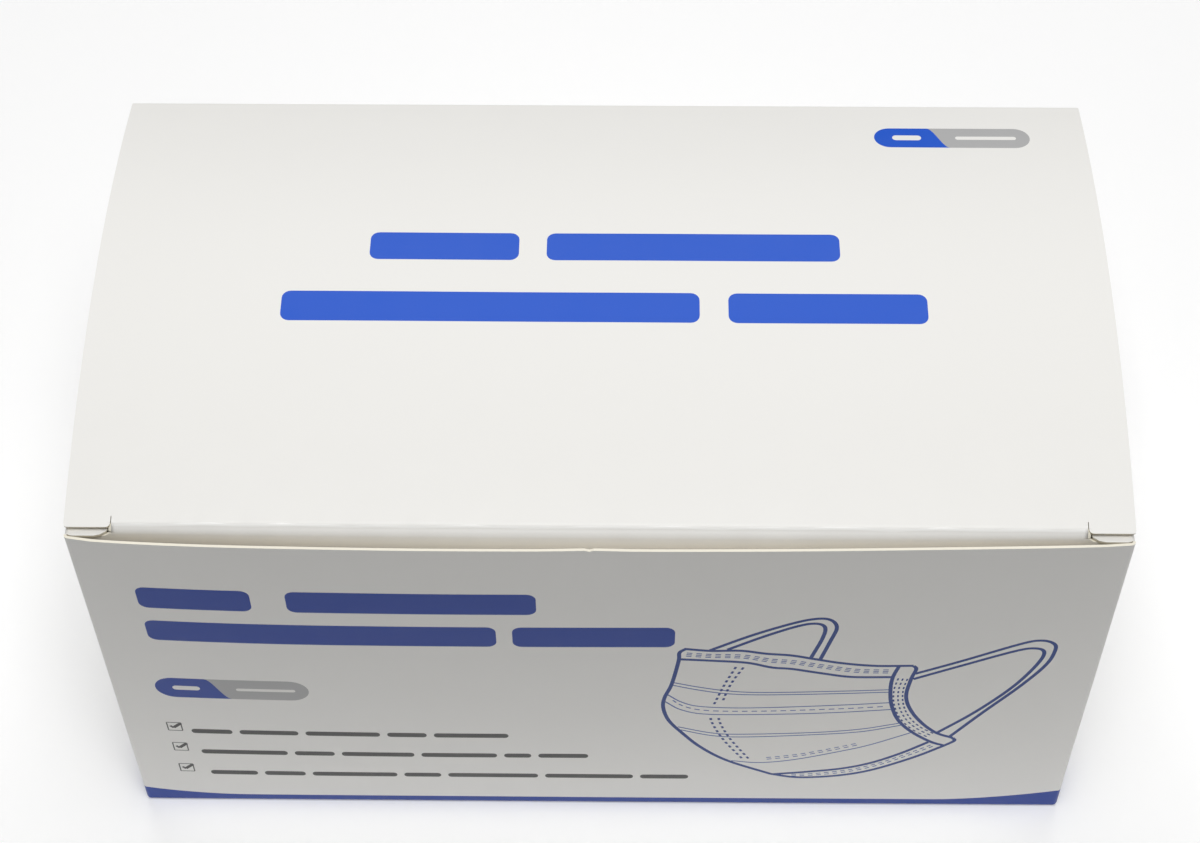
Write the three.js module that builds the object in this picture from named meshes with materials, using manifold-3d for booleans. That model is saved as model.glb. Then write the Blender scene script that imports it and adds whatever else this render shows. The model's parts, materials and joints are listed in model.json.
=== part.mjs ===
// Folding carton with a tuck-in lid: the panels and flaps of one paperboard blank, folded and closed.
// Millimetres, +Z up. The origin is the centre of the base, and the front panel faces -Y.

import * as THREE from "three";
import { mergeVertices } from "three/addons/utils/BufferGeometryUtils.js";
import Module from "manifold-3d";

const wasm = await Module();
wasm.setup();

// Driving dimensions, in millimetres.
const WIDTH = 182; // outside, from side panel to side panel
const DEPTH = 100; // outside, from front to back at the corners
const HEIGHT = 96; // from the floor to the lid's rear crease
const BOARD = 0.5; // thickness of the paperboard
const GAP = 0.3; // kept between neighbouring panels at a crease
const FOLD_RADIUS = 0.9; // outside radius of the four upright folds
const WRAP = 1; // how far the front and back panels reach past each upright fold
const FRONT_DROP = 0.8; // how far the front panel's free edge stays below the rear crease

// Paperboard that is folded and closed bulges between its creases.
const WALL_BOW = 2; // bulge of the front and back panels
const BOW_FULLNESS = 0.6; // power of the bulge's curve across the wall, lower is fuller
const BOW_SKEW = 0.33; // share by which the bulge leans to the wall's left
const RISE_FULLNESS = 0.8; // power of the front panel's bulge over its height
const SIDE_BOW = 0.8; // bulge of the side panels
const LID_CROWN = 6.4; // rise of the lid over its creases, at mid depth

// The lid's front edge: a soft fold between two flat end tabs, and the flap below it.
const TAB_WIDTH = 7.7;
const TAB_SETBACK = 1.5; // from the front corner back to a tab's front edge
const TAB_RADIUS = 1.5;
const SLIT = 0.4; // width of the slit between a tab and the fold
const SLIT_LENGTH = 2.1;
const LID_FOLD_RADIUS = 1.8; // outside radius of the fold
const TUCK_SETBACK = 1.8; // from the front corner back to the fold's foremost line
const TUCK_HEIGHT = 18;
const TUCK_CORNER = 9; // radius of the tuck flap's free corners
const TUCK_CLEARANCE = 0.6; // left in front of the tuck flap's free edge as the lid swings up

// The flaps that lie under the lid.
const DUST_LENGTH = 45;
const DUST_STEP = 5.5; // from the front corner back to the dust flap's front edge behind the tuck flap
const DUST_CHAMFER = 8; // at the rear end of its crease
const DUST_TAPER = 15; // slant of its rear edge, in degrees
const DUST_CORNER = 6;
const SHOULDER_RADIUS = 2.5; // where its front shoulder rounds towards the step

// The glued seam and bottom.
const GLUE_WIDTH = 15;
const GLUE_BEVEL = 8; // slant at the seam strip's two ends
const BOTTOM_INNER_LENGTH = 62;
const BOTTOM_FLAP_LENGTH = 45;
const BOTTOM_BEVEL = 6;

// Fineness of the curved faces.
const WALL_COLUMNS = 22;
const WALL_ROWS = 9;
const FOLD_STEPS = 3;
const SIDE_COLUMNS = 8;
const CROWN_STEPS = 18;
const ARC_STEPS = 7;

// Sizes that follow from them.
const FLOOR_GAP = BOARD + GAP; // from one layer of the bottom to the next
const WALL_FOOT = FLOOR_GAP; // the walls stand on the bottom panel
const FRONT_TOP = HEIGHT - FRONT_DROP;
const BACK_TOP = HEIGHT - BOARD - GAP;
const DUST_TOP = HEIGHT - BOARD - GAP;
const SIDE_TOP = DUST_TOP - BOARD - GAP;
const CREASE_HALF = DEPTH / 2 - FOLD_RADIUS - WRAP - GAP; // half of a side panel's width
const INSIDE_X = WIDTH / 2 - BOARD - GAP; // what fits inside the walls, from the middle
const INSIDE_Y = DEPTH / 2 - BOARD - GAP;
const FOLD_HALF = WIDTH / 2 - TAB_WIDTH - SLIT; // half the length of the lid's front fold

const board = (color, roughness) => new THREE.MeshStandardMaterial({ color, roughness, metalness: 0 });

function named(name, geometry, material) {
  const mesh = new THREE.Mesh(geometry, material);
  mesh.name = name;
  return mesh;
}

// A closed mesh as a solid for cutting and joining.
function toSolid(geometry) {
  const bare = geometry.clone();
  bare.deleteAttribute("normal");
  bare.deleteAttribute("uv");
  const merged = mergeVertices(bare, 1e-4);
  return new wasm.Manifold(
    new wasm.Mesh({
      numProp: 3,
      vertProperties: merged.getAttribute("position").array,
      triVerts: new Uint32Array(merged.index.array),
    }),
  );
}

function toGeometry(solid) {
  const mesh = solid.getMesh();
  const geometry = new THREE.BufferGeometry();
  geometry.setAttribute("position", new THREE.BufferAttribute(mesh.vertProperties, 3));
  geometry.setIndex(new THREE.BufferAttribute(mesh.triVerts, 1));
  geometry.computeVertexNormals();
  return geometry;
}

// A flat piece of board lying with its underside at z = 0.
function flatBoard(outline) {
  return new THREE.ExtrudeGeometry(outline, { depth: BOARD, bevelEnabled: false, curveSegments: 6 });
}

// A side profile drawn as (y, z), stretched along X from x0 to x1.
function alongX(profile, x0, x1) {
  const geometry = new THREE.ExtrudeGeometry(profile, { depth: x1 - x0, bevelEnabled: false });
  const turned = new THREE.Matrix4().makeBasis(
    new THREE.Vector3(0, 1, 0),
    new THREE.Vector3(0, 0, 1),
    new THREE.Vector3(1, 0, 0),
  );
  return geometry.applyMatrix4(turned).translate(x0, 0, 0);
}

// A closed sheet between two matching grids of points, with rows going up and columns going right as seen
// from the outer face.
function sheet(outerRows, innerRows) {
  const rows = outerRows.length - 1;
  const columns = outerRows[0].length - 1;
  const positions = [outerRows, innerRows].flat(3);
  const index = [];
  const at = (face, r, c) => (face * (rows + 1) + r) * (columns + 1) + c;
  const quad = (a, b, c, d) => index.push(a, b, c, a, c, d);
  for (let r = 0; r < rows; r++) {
    for (let c = 0; c < columns; c++) {
      quad(at(0, r, c), at(0, r, c + 1), at(0, r + 1, c + 1), at(0, r + 1, c));
      quad(at(1, r, c), at(1, r + 1, c), at(1, r + 1, c + 1), at(1, r, c + 1));
    }
    quad(at(0, r, 0), at(0, r + 1, 0), at(1, r + 1, 0), at(1, r, 0));
    quad(at(0, r, columns), at(1, r, columns), at(1, r + 1, columns), at(0, r + 1, columns));
  }
  for (let c = 0; c < columns; c++) {
    quad(at(0, 0, c), at(1, 0, c), at(1, 0, c + 1), at(0, 0, c + 1));
    quad(at(0, rows, c), at(0, rows, c + 1), at(1, rows, c + 1), at(1, rows, c));
  }
  const geometry = new THREE.BufferGeometry();
  geometry.setAttribute("position", new THREE.Float32BufferAttribute(positions, 3));
  geometry.setIndex(index);
  geometry.computeVertexNormals();
  return geometry;
}

// A wall that faces -Y, made of stations along its plan. A station has its outer and inner point and its
// share of the half width, and bow(share, z) is how far the wall bulges out there.
function wall(stations, top, bow) {
  const grid = (side) =>
    Array.from({ length: WALL_ROWS + 1 }, (_, r) => {
      const z = WALL_FOOT + ((top - WALL_FOOT) * r) / WALL_ROWS;
      return stations.map((station) => [station[side][0], station[side][1] - bow(station.share, z), z]);
    });
  return sheet(grid("outer"), grid("inner"));
}

// Stations of a front or back wall, with its rounded upright folds and the short stretch past them.
function foldedStations() {
  const centreX = WIDTH / 2 - FOLD_RADIUS;
  const centreY = -DEPTH / 2 + FOLD_RADIUS;
  const inner = FOLD_RADIUS - BOARD;
  const corner = (side) => {
    const points = [
      {
        outer: [(side * WIDTH) / 2, centreY + WRAP],
        inner: [side * (WIDTH / 2 - BOARD), centreY + WRAP],
        share: side,
      },
    ];
    for (let i = 0; i < FOLD_STEPS; i++) {
      const angle = (Math.PI / 2) * (i / FOLD_STEPS);
      const x = side * Math.cos(angle);
      const y = -Math.sin(angle);
      points.push({
        outer: [side * centreX + FOLD_RADIUS * x, centreY + FOLD_RADIUS * y],
        inner: [side * centreX + inner * x, centreY + inner * y],
        share: side,
      });
    }
    return points;
  };
  const face = Array.from({ length: WALL_COLUMNS + 1 }, (_, c) => {
    const share = (2 * c) / WALL_COLUMNS - 1;
    return {
      outer: [share * centreX, -DEPTH / 2],
      inner: [share * centreX, -DEPTH / 2 + BOARD],
      share,
    };
  });
  return [...corner(-1), ...face, ...corner(1).reverse()];
}

const acrossBow = (share) => WALL_BOW * (1 - share * share) ** BOW_FULLNESS * (1 - BOW_SKEW * share);

// The front panel is free at its top edge and bulges most there.
function frontPanel() {
  const bow = (share, z) => acrossBow(share) * Math.sin((Math.PI / 2) * (z / HEIGHT) ** RISE_FULLNESS);
  return wall(foldedStations(), FRONT_TOP, bow);
}

// The back panel is creased at its top and bottom and bulges most at mid height.
function backPanel() {
  const bow = (share, z) => acrossBow(share) * Math.sin((Math.PI * z) / HEIGHT);
  return wall(foldedStations(), BACK_TOP, bow).rotateZ(Math.PI);
}

// A side panel butts between the folds of the front and back panels. side is 1 on the right, -1 on the left.
function sidePanel(side) {
  const stations = Array.from({ length: SIDE_COLUMNS + 1 }, (_, c) => {
    const share = (2 * c) / SIDE_COLUMNS - 1;
    return {
      outer: [share * CREASE_HALF, -WIDTH / 2],
      inner: [share * CREASE_HALF, -WIDTH / 2 + BOARD],
      share,
    };
  });
  const bow = (share, z) => SIDE_BOW * (1 - share * share) * Math.sin((Math.PI * z) / HEIGHT);
  return wall(stations, SIDE_TOP, bow).rotateZ((side * Math.PI) / 2);
}

// The seam strip lies against the left side panel, behind the rear left fold.
function glueFlap() {
  const foot = WALL_FOOT + 3 * FLOOR_GAP;
  const outline = new THREE.Shape();
  outline.moveTo(INSIDE_Y, foot);
  outline.lineTo(INSIDE_Y, SIDE_TOP);
  outline.lineTo(INSIDE_Y - GLUE_WIDTH, SIDE_TOP - GLUE_BEVEL);
  outline.lineTo(INSIDE_Y - GLUE_WIDTH, foot + GLUE_BEVEL);
  return alongX(outline, -INSIDE_X, -INSIDE_X + BOARD);
}

// The outer closing panel of the bottom has the carton's rounded rectangle in plan.
function bottomPanel() {
  const x = WIDTH / 2 - FOLD_RADIUS;
  const y = DEPTH / 2 - FOLD_RADIUS;
  const outline = new THREE.Shape();
  outline.absarc(x, y, FOLD_RADIUS, 0, Math.PI / 2);
  outline.absarc(-x, y, FOLD_RADIUS, Math.PI / 2, Math.PI);
  outline.absarc(-x, -y, FOLD_RADIUS, Math.PI, 1.5 * Math.PI);
  outline.absarc(x, -y, FOLD_RADIUS, 1.5 * Math.PI, 2 * Math.PI);
  return flatBoard(outline);
}

// The panel glued on it comes from the front wall, with its free corners cut off.
function bottomInnerPanel() {
  const end = -INSIDE_Y + BOTTOM_INNER_LENGTH;
  const outline = new THREE.Shape();
  outline.moveTo(-INSIDE_X, -INSIDE_Y);
  outline.lineTo(INSIDE_X, -INSIDE_Y);
  outline.lineTo(INSIDE_X, end - BOTTOM_BEVEL);
  outline.lineTo(INSIDE_X - BOTTOM_BEVEL, end);
  outline.lineTo(-INSIDE_X + BOTTOM_BEVEL, end);
  outline.lineTo(-INSIDE_X, end - BOTTOM_BEVEL);
  return flatBoard(outline);
}

// The short flaps of the bottom lie on top, one from each side wall.
function bottomSideFlap(side) {
  const outline = new THREE.Shape();
  outline.moveTo(side * INSIDE_X, -INSIDE_Y);
  outline.lineTo(side * INSIDE_X, INSIDE_Y);
  outline.lineTo(side * (INSIDE_X - BOTTOM_FLAP_LENGTH), INSIDE_Y - BOTTOM_BEVEL);
  outline.lineTo(side * (INSIDE_X - BOTTOM_FLAP_LENGTH), -INSIDE_Y + BOTTOM_BEVEL);
  return flatBoard(outline);
}

// A dust flap is drawn from its crease at x = 0 towards the middle of the carton. Its top face is at z = 0.
// A narrow shoulder under the lid's end tab reaches the front panel, and the rest stays behind the tuck flap.
function dustFlap(side) {
  const inward = -side;
  const shoulder = -INSIDE_Y;
  const step = -DEPTH / 2 + DUST_STEP;
  const taper = Math.tan(THREE.MathUtils.degToRad(DUST_TAPER));
  const rear = (q) => CREASE_HALF - DUST_CHAMFER - (q - DUST_CHAMFER) * taper;
  const outline = new THREE.Shape();
  const line = (q, y) => outline.lineTo(inward * q, y);
  const curve = (q0, y0, q1, y1) => outline.quadraticCurveTo(inward * q0, y0, inward * q1, y1);
  outline.moveTo(0, -CREASE_HALF);
  line(BOARD + GAP, -CREASE_HALF);
  curve(BOARD + GAP, shoulder, BOARD + GAP + SHOULDER_RADIUS, shoulder);
  line(TAB_WIDTH - SHOULDER_RADIUS, shoulder);
  curve(TAB_WIDTH, shoulder, TAB_WIDTH, (shoulder + step) / 2);
  curve(TAB_WIDTH, step, TAB_WIDTH + SHOULDER_RADIUS, step);
  line(DUST_LENGTH - DUST_CORNER, step);
  curve(DUST_LENGTH, step, DUST_LENGTH, step + DUST_CORNER);
  line(DUST_LENGTH, rear(DUST_LENGTH) - DUST_CORNER);
  curve(DUST_LENGTH, rear(DUST_LENGTH), DUST_LENGTH - DUST_CORNER, rear(DUST_LENGTH - DUST_CORNER));
  line(DUST_CHAMFER, CREASE_HALF - DUST_CHAMFER);
  line(0, CREASE_HALF);
  return flatBoard(outline).translate(0, 0, -BOARD);
}

// The lid's height over its rear crease, at the distance d in front of it.
const crownAt = (d) => 4 * LID_CROWN * (d / DEPTH) * (1 - d / DEPTH);
const crownSlope = (d) => ((4 * LID_CROWN) / DEPTH) * (1 - (2 * d) / DEPTH);

// The front fold is an arc that continues the crown: its centre, and how far its start leans forward.
function lidFold() {
  const centre = DEPTH - TUCK_SETBACK - LID_FOLD_RADIUS;
  let lean = 0;
  for (let i = 0; i < 8; i++) lean = Math.atan(-crownSlope(centre + LID_FOLD_RADIUS * Math.sin(lean)));
  const start = centre + LID_FOLD_RADIUS * Math.sin(lean);
  return { centre, height: crownAt(start) - LID_FOLD_RADIUS * Math.cos(lean), lean, start };
}

const fold = lidFold();

// Points of the crown's top face and its underside from the rear crease to the start of the fold.
function crownLines() {
  const top = [];
  const underside = [];
  for (let i = 0; i <= CROWN_STEPS; i++) {
    const d = (fold.start * i) / CROWN_STEPS;
    const slant = i === 0 ? 0 : Math.atan(crownSlope(d));
    const thickness = i === 0 ? BOARD / Math.cos(Math.atan(crownSlope(d))) : BOARD;
    top.push([d, crownAt(d)]);
    underside.push([d + thickness * Math.sin(slant), crownAt(d) - thickness * Math.cos(slant)]);
  }
  return { top, underside };
}

// A side profile from its top line and its underside, both given from the rear as distance and height.
function sideProfile(top, underside) {
  const points = [...top, ...[...underside].reverse()];
  return new THREE.Shape(points.map(([d, z]) => new THREE.Vector2(-d, z)));
}

// The lid as a crowned sheet whose front edge turns down in the fold. Its rear crease lies on x = y = z = 0.
function creasedLid() {
  const { top, underside } = crownLines();
  for (let i = 1; i <= ARC_STEPS; i++) {
    const angle = fold.lean + (Math.PI / 2 - fold.lean) * (i / ARC_STEPS);
    const inner = LID_FOLD_RADIUS - BOARD;
    top.push([
      fold.centre + LID_FOLD_RADIUS * Math.sin(angle),
      fold.height + LID_FOLD_RADIUS * Math.cos(angle),
    ]);
    underside.push([fold.centre + inner * Math.sin(angle), fold.height + inner * Math.cos(angle)]);
  }
  const slitEnd = -DEPTH + TAB_SETBACK + SLIT_LENGTH;
  const outline = new THREE.Shape();
  outline.moveTo(-WIDTH / 2, DEPTH);
  outline.lineTo(-WIDTH / 2, slitEnd);
  outline.lineTo(-FOLD_HALF, slitEnd);
  outline.lineTo(-FOLD_HALF, -DEPTH);
  outline.lineTo(FOLD_HALF, -DEPTH);
  outline.lineTo(FOLD_HALF, slitEnd);
  outline.lineTo(WIDTH / 2, slitEnd);
  outline.lineTo(WIDTH / 2, DEPTH);
  return cutInPlan(alongX(sideProfile(top, underside), -WIDTH / 2, WIDTH / 2), outline);
}

// The end tabs go on straight past the slits, flat on the dust flaps' shoulders.
function endTab(side) {
  const { top, underside } = crownLines();
  const reach = DEPTH - TAB_SETBACK;
  const rise = Math.tan(fold.lean) * (reach - fold.start);
  top.push([reach, crownAt(fold.start) - rise]);
  underside.push([reach, crownAt(fold.start) - rise - BOARD / Math.cos(fold.lean)]);
  const rootY = -DEPTH + TAB_SETBACK + SLIT_LENGTH + GAP;
  const outer = (side * WIDTH) / 2;
  const inner = side * (FOLD_HALF + SLIT);
  const outline = new THREE.Shape();
  outline.moveTo(outer, rootY);
  outline.lineTo(outer, -reach + FOLD_RADIUS);
  outline.quadraticCurveTo(outer, -reach, outer - side * FOLD_RADIUS, -reach);
  outline.lineTo(inner + side * TAB_RADIUS, -reach);
  outline.quadraticCurveTo(inner, -reach, inner, -reach + TAB_RADIUS);
  outline.lineTo(inner, rootY);
  return cutInPlan(alongX(sideProfile(top, underside), -WIDTH / 2, WIDTH / 2), outline);
}

// What is left of a solid inside an outline that is seen from above.
function cutInPlan(geometry, outline) {
  const reach = LID_CROWN + TUCK_HEIGHT;
  const prism = new THREE.ExtrudeGeometry(outline, { depth: 2 * reach, bevelEnabled: false, curveSegments: 5 });
  return toSolid(geometry).intersect(toSolid(prism.translate(0, 0, -reach)));
}

function lidPanel() {
  return toGeometry(creasedLid().add(endTab(-1)).add(endTab(1)));
}

// The tuck flap hangs from its crease at y = z = 0, with its outer face at y = 0.
function tuckFlap() {
  const outline = new THREE.Shape();
  outline.moveTo(-FOLD_HALF, -GAP);
  outline.lineTo(-FOLD_HALF, -TUCK_HEIGHT + TUCK_CORNER);
  outline.absarc(-FOLD_HALF + TUCK_CORNER, -TUCK_HEIGHT + TUCK_CORNER, TUCK_CORNER, Math.PI, 1.5 * Math.PI);
  outline.absarc(FOLD_HALF - TUCK_CORNER, -TUCK_HEIGHT + TUCK_CORNER, TUCK_CORNER, 1.5 * Math.PI, 2 * Math.PI);
  outline.lineTo(FOLD_HALF, -GAP);
  return flatBoard(outline).rotateX(Math.PI / 2).translate(0, BOARD, 0);
}

// The tuck flap leans in so that its free edge clears the front panel on its arc about the rear crease.
function tuckLean() {
  const reach = DEPTH - TUCK_SETBACK;
  const setback = TUCK_HEIGHT ** 2 / (2 * reach) + TUCK_CLEARANCE;
  return Math.asin(setback / TUCK_HEIGHT);
}

const white = 0xecebe7;
const cream = 0xe6dfcc;

// The sleeve and the bottom, which stand still.
const carton = new THREE.Group();
carton.add(named("front_panel", frontPanel(), board(white, 0.45)));
carton.add(named("back_panel", backPanel(), board(white, 0.45)));
carton.add(named("glue_flap", glueFlap(), board(cream, 0.85)));
carton.add(named("bottom_panel", bottomPanel(), board(white, 0.45)));

const bottomInner = named("bottom_inner_panel", bottomInnerPanel(), board(cream, 0.85));
bottomInner.position.z = FLOOR_GAP;
carton.add(bottomInner);

for (const [word, side] of [["left", -1], ["right", 1]]) {
  carton.add(named(`side_panel_${word}`, sidePanel(side), board(white, 0.45)));

  const flap = named(`bottom_side_flap_${word}`, bottomSideFlap(side), board(cream, 0.85));
  flap.position.z = 2 * FLOOR_GAP;
  carton.add(flap);

  const dust = named(`dust_flap_${word}`, dustFlap(side), board(white, 0.5));
  dust.position.set((side * WIDTH) / 2, 0, DUST_TOP);
  carton.add(dust);
}

// The lid turns about its rear crease and carries the tuck flap.
const lid = new THREE.Group();
lid.position.set(0, DEPTH / 2, HEIGHT);
lid.add(named("lid_panel", lidPanel(), board(white, 0.4)));
carton.add(lid);

const tuck = named("tuck_flap", tuckFlap(), board(white, 0.45));
tuck.position.set(0, -DEPTH + TUCK_SETBACK, fold.height);
tuck.rotation.x = tuckLean();
lid.add(tuck);

export default carton;
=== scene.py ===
"""A closed paperboard folding carton for face masks, on a pale floor in soft light.

Lengths are in millimetres until a mesh is made. +Z is up, and the front panel faces -Y.
"""

import json
import math
from bisect import bisect_right

import bpy
from mathutils import Matrix, Vector, noise
from mathutils.geometry import delaunay_2d_cdt


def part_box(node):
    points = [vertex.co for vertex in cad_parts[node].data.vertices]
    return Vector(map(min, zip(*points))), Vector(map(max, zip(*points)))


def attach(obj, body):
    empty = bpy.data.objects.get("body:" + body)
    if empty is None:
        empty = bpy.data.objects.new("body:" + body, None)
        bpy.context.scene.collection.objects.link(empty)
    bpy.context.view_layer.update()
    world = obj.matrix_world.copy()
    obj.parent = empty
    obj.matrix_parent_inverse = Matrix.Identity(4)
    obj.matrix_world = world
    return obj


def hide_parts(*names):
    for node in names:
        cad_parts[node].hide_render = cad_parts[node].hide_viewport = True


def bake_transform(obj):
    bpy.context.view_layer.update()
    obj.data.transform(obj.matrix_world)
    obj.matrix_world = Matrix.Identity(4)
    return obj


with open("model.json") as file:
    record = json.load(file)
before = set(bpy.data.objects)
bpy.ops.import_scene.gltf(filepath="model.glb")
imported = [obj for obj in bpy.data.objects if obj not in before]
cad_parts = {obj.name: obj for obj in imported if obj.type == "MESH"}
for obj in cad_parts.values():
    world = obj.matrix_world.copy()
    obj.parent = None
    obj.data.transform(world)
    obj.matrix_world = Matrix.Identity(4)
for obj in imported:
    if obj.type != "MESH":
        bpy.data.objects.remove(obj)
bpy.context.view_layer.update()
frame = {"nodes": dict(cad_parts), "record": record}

# Sizes read from the frame.
MM = 0.001


def box_mm(node):
    low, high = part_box(node)
    return low / MM, high / MM


def joint_mm(name):
    joints = frame["record"]["behaviour"]["joints"]
    return Vector(next(j["pos_m"] for j in joints if j["name"] == name)) / MM


front_low, front_high = box_mm("front_panel")
side_high = box_mm("side_panel_right")[1]
lid_low, lid_high = box_mm("lid_panel")
tuck_low, tuck_high = box_mm("tuck_flap")
dust_low, dust_high = box_mm("dust_flap_right")
bottom_low, bottom_high = box_mm("bottom_panel")
glue_low, glue_high = box_mm("glue_flap")
lid_crease = joint_mm("lid_hinge")
tuck_crease = joint_mm("tuck_hinge")

HALF_W = front_high.x
HALF_D = bottom_high.y
BOARD = bottom_high.z - bottom_low.z
FRONT_TOP = front_high.z
LID_CROWN = lid_high.z - lid_crease.z
SIDE_BOW = side_high.x - HALF_W
GLUE_WIDTH = glue_high.y - glue_low.y
DUST_TOP = dust_high.z
DUST_REACH = HALF_W - dust_low.x
FOLD_HALF = tuck_high.x

# Shapes of the folded board that the frame holds too, with the same values.
FOLD_RADIUS = 0.9
LID_FOLD_RADIUS = 1.8
BOW_FULLNESS = 0.6
BOW_SKEW = 0.33
RISE_FULLNESS = 0.8
TAB_SETBACK = 1.5
SLIT_LENGTH = 2.1
TUCK_CORNER = 9.0
DUST_STEP = 5.5
DUST_CHAMFER = 8.0
DUST_TAPER = math.radians(15)
DUST_CORNER = 6.0

# Shapes that only the board of this scene has.
SLIT = 0.14
TUCK_EAR = 4.0
EAR_DROP = 0.5
EAR_CLEARANCE = 0.9
TUCK_BULGE = 0.9
TUCK_BULGE_MIDDLE = 1.1
TUCK_BULGE_RISE = 1.2
BULGE_SCALE = 27 / 4  # brings the peak of x * (1 - x) ** 2 to 1
CREASE_RADIUS = 0.8
CREASE_FOOT = 1.5
SEAM_GAP = 0.06
SEAM_BEVEL = 8
BOTTOM_TURN = math.radians(78)
BOTTOM_GAP = 0.1
NICK_OFFSET = -1.5
NICK_DEPTH = 0.18
NICK_SPREAD = 5
NICK_CUT = 0.32


# Lines and surfaces.


class Path:
    """A line through points in a plane, read by the length along it."""

    def __init__(self, points):
        self.points = [Vector(p) for p in points]
        self.lengths = [0.0]
        for a, b in zip(self.points, self.points[1:]):
            self.lengths.append(self.lengths[-1] + (b - a).length)
        self.length = self.lengths[-1]

    def at(self, s):
        i = min(max(bisect_right(self.lengths, s) - 1, 0), len(self.points) - 2)
        share = (s - self.lengths[i]) / (self.lengths[i + 1] - self.lengths[i])
        return self.points[i].lerp(self.points[i + 1], share)

    def where(self, axis, value, start=0.0):
        """The length, from start on, at which a coordinate first reaches a value."""
        for i in range(len(self.points) - 1):
            a, b = self.points[i][axis], self.points[i + 1][axis]
            if self.lengths[i + 1] > start and a != b and min(a, b) <= value <= max(a, b):
                share = (value - a) / (b - a)
                return self.lengths[i] + share * (self.lengths[i + 1] - self.lengths[i])
        raise ValueError(f"the path never reaches {value}")


def arc(centre, radius, start, end, steps=24):
    """Points of an arc, with its angles in radians from the first axis towards the second."""
    angles = [start + (end - start) * i / steps for i in range(steps + 1)]
    return [(centre[0] + radius * math.cos(a), centre[1] + radius * math.sin(a)) for a in angles]


def spread(start, end, step):
    """Evenly spaced values from start to end, about a step apart."""
    count = max(1, round(abs(end - start) / step))
    return [start + (end - start) * i / count for i in range(count + 1)]


def ripple(u, v, size, depth, seed):
    """A smooth random height over the sheet."""
    return depth * noise.noise(Vector((u / size, v / size, seed)))


def smooth_step(t):
    t = min(max(t, 0.0), 1.0)
    return t * t * (3 - 2 * t)


# Outlines of print. Each is a closed list of points on the sheet.


def curve(points, steps=6):
    """A smooth line through points."""
    ends = [2 * Vector(points[0]) - Vector(points[1])]
    ends += [Vector(p) for p in points]
    ends += [2 * Vector(points[-1]) - Vector(points[-2])]
    line = []
    for a, b, c, d in zip(ends, ends[1:], ends[2:], ends[3:]):
        for i in range(steps):
            t = i / steps
            square = (2 * a - 5 * b + 4 * c - d) * t**2
            cube = (3 * b - a - 3 * c + d) * t**3
            line.append(0.5 * (2 * b + (c - a) * t + square + cube))
    return line + [Vector(points[-1])]


def stroke(points, width, smooth=True):
    """A drawn line of some width, as a closed outline."""
    line = curve(points) if smooth else [Vector(p) for p in points]
    left, right = [], []
    for i, p in enumerate(line):
        along = (line[min(i + 1, len(line) - 1)] - line[max(i - 1, 0)]).normalized()
        side = Vector((-along.y, along.x)) * (width / 2)
        left.append(p + side)
        right.append(p - side)
    return left + right[::-1]


def dashes(points, width, length, pitch, shift=0.0):
    """A dashed line, moved sideways by shift."""
    path = Path(curve(points))
    marks = []
    s = pitch / 2
    while s + length < path.length:
        a, b = path.at(s), path.at(s + length)
        along = (b - a).normalized()
        side = Vector((-along.y, along.x)) * shift
        marks.append(stroke([a + side, b + side], width, smooth=False))
        s += pitch
    return marks


def bar(x0, x1, y0, y1, radius):
    """A rounded bar."""
    loop = []
    for cx, cy, start in (
        (x1 - radius, y1 - radius, 0),
        (x0 + radius, y1 - radius, 90),
        (x0 + radius, y0 + radius, 180),
        (x1 - radius, y0 + radius, 270),
    ):
        loop += arc((cx, cy), radius, math.radians(start), math.radians(start + 90), 5)
    return loop


# Board made of a flat sheet that is laid over a surface.


def signed_area(loop):
    return sum(a[0] * b[1] - b[0] * a[1] for a, b in zip(loop, loop[1:] + loop[:1])) / 2


def cut_sheet(outline, prints, columns, rows):
    """Triangles of the sheet inside its outline, split along the print and along a grid of lines.

    Gives the points, the triangles, and each triangle's print number, or -1 for bare board."""
    points, edges, loops = [], [], []
    for loop in [outline] + [p for p, _ in prints]:
        loop = [tuple(p) for p in loop]
        if signed_area(loop) < 0:
            loop.reverse()
        loops.append(list(range(len(points), len(points) + len(loop))))
        points += loop
    low = [min(p[k] for p in outline) - 1 for k in (0, 1)]
    high = [max(p[k] for p in outline) + 1 for k in (0, 1)]
    for u in columns:
        points += [(u, low[1]), (u, high[1])]
        edges.append((len(points) - 2, len(points) - 1))
    for v in rows:
        points += [(low[0], v), (high[0], v)]
        edges.append((len(points) - 2, len(points) - 1))
    found = delaunay_2d_cdt([Vector(p) for p in points], edges, loops, 0, 1e-5)
    places, triangles, owners = found[0], found[2], found[5]
    kept = [(t, max(o) - 1) for t, o in zip(triangles, owners) if 0 in o]
    return [tuple(p) for p in places], [t for t, _ in kept], [k for _, k in kept]


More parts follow.
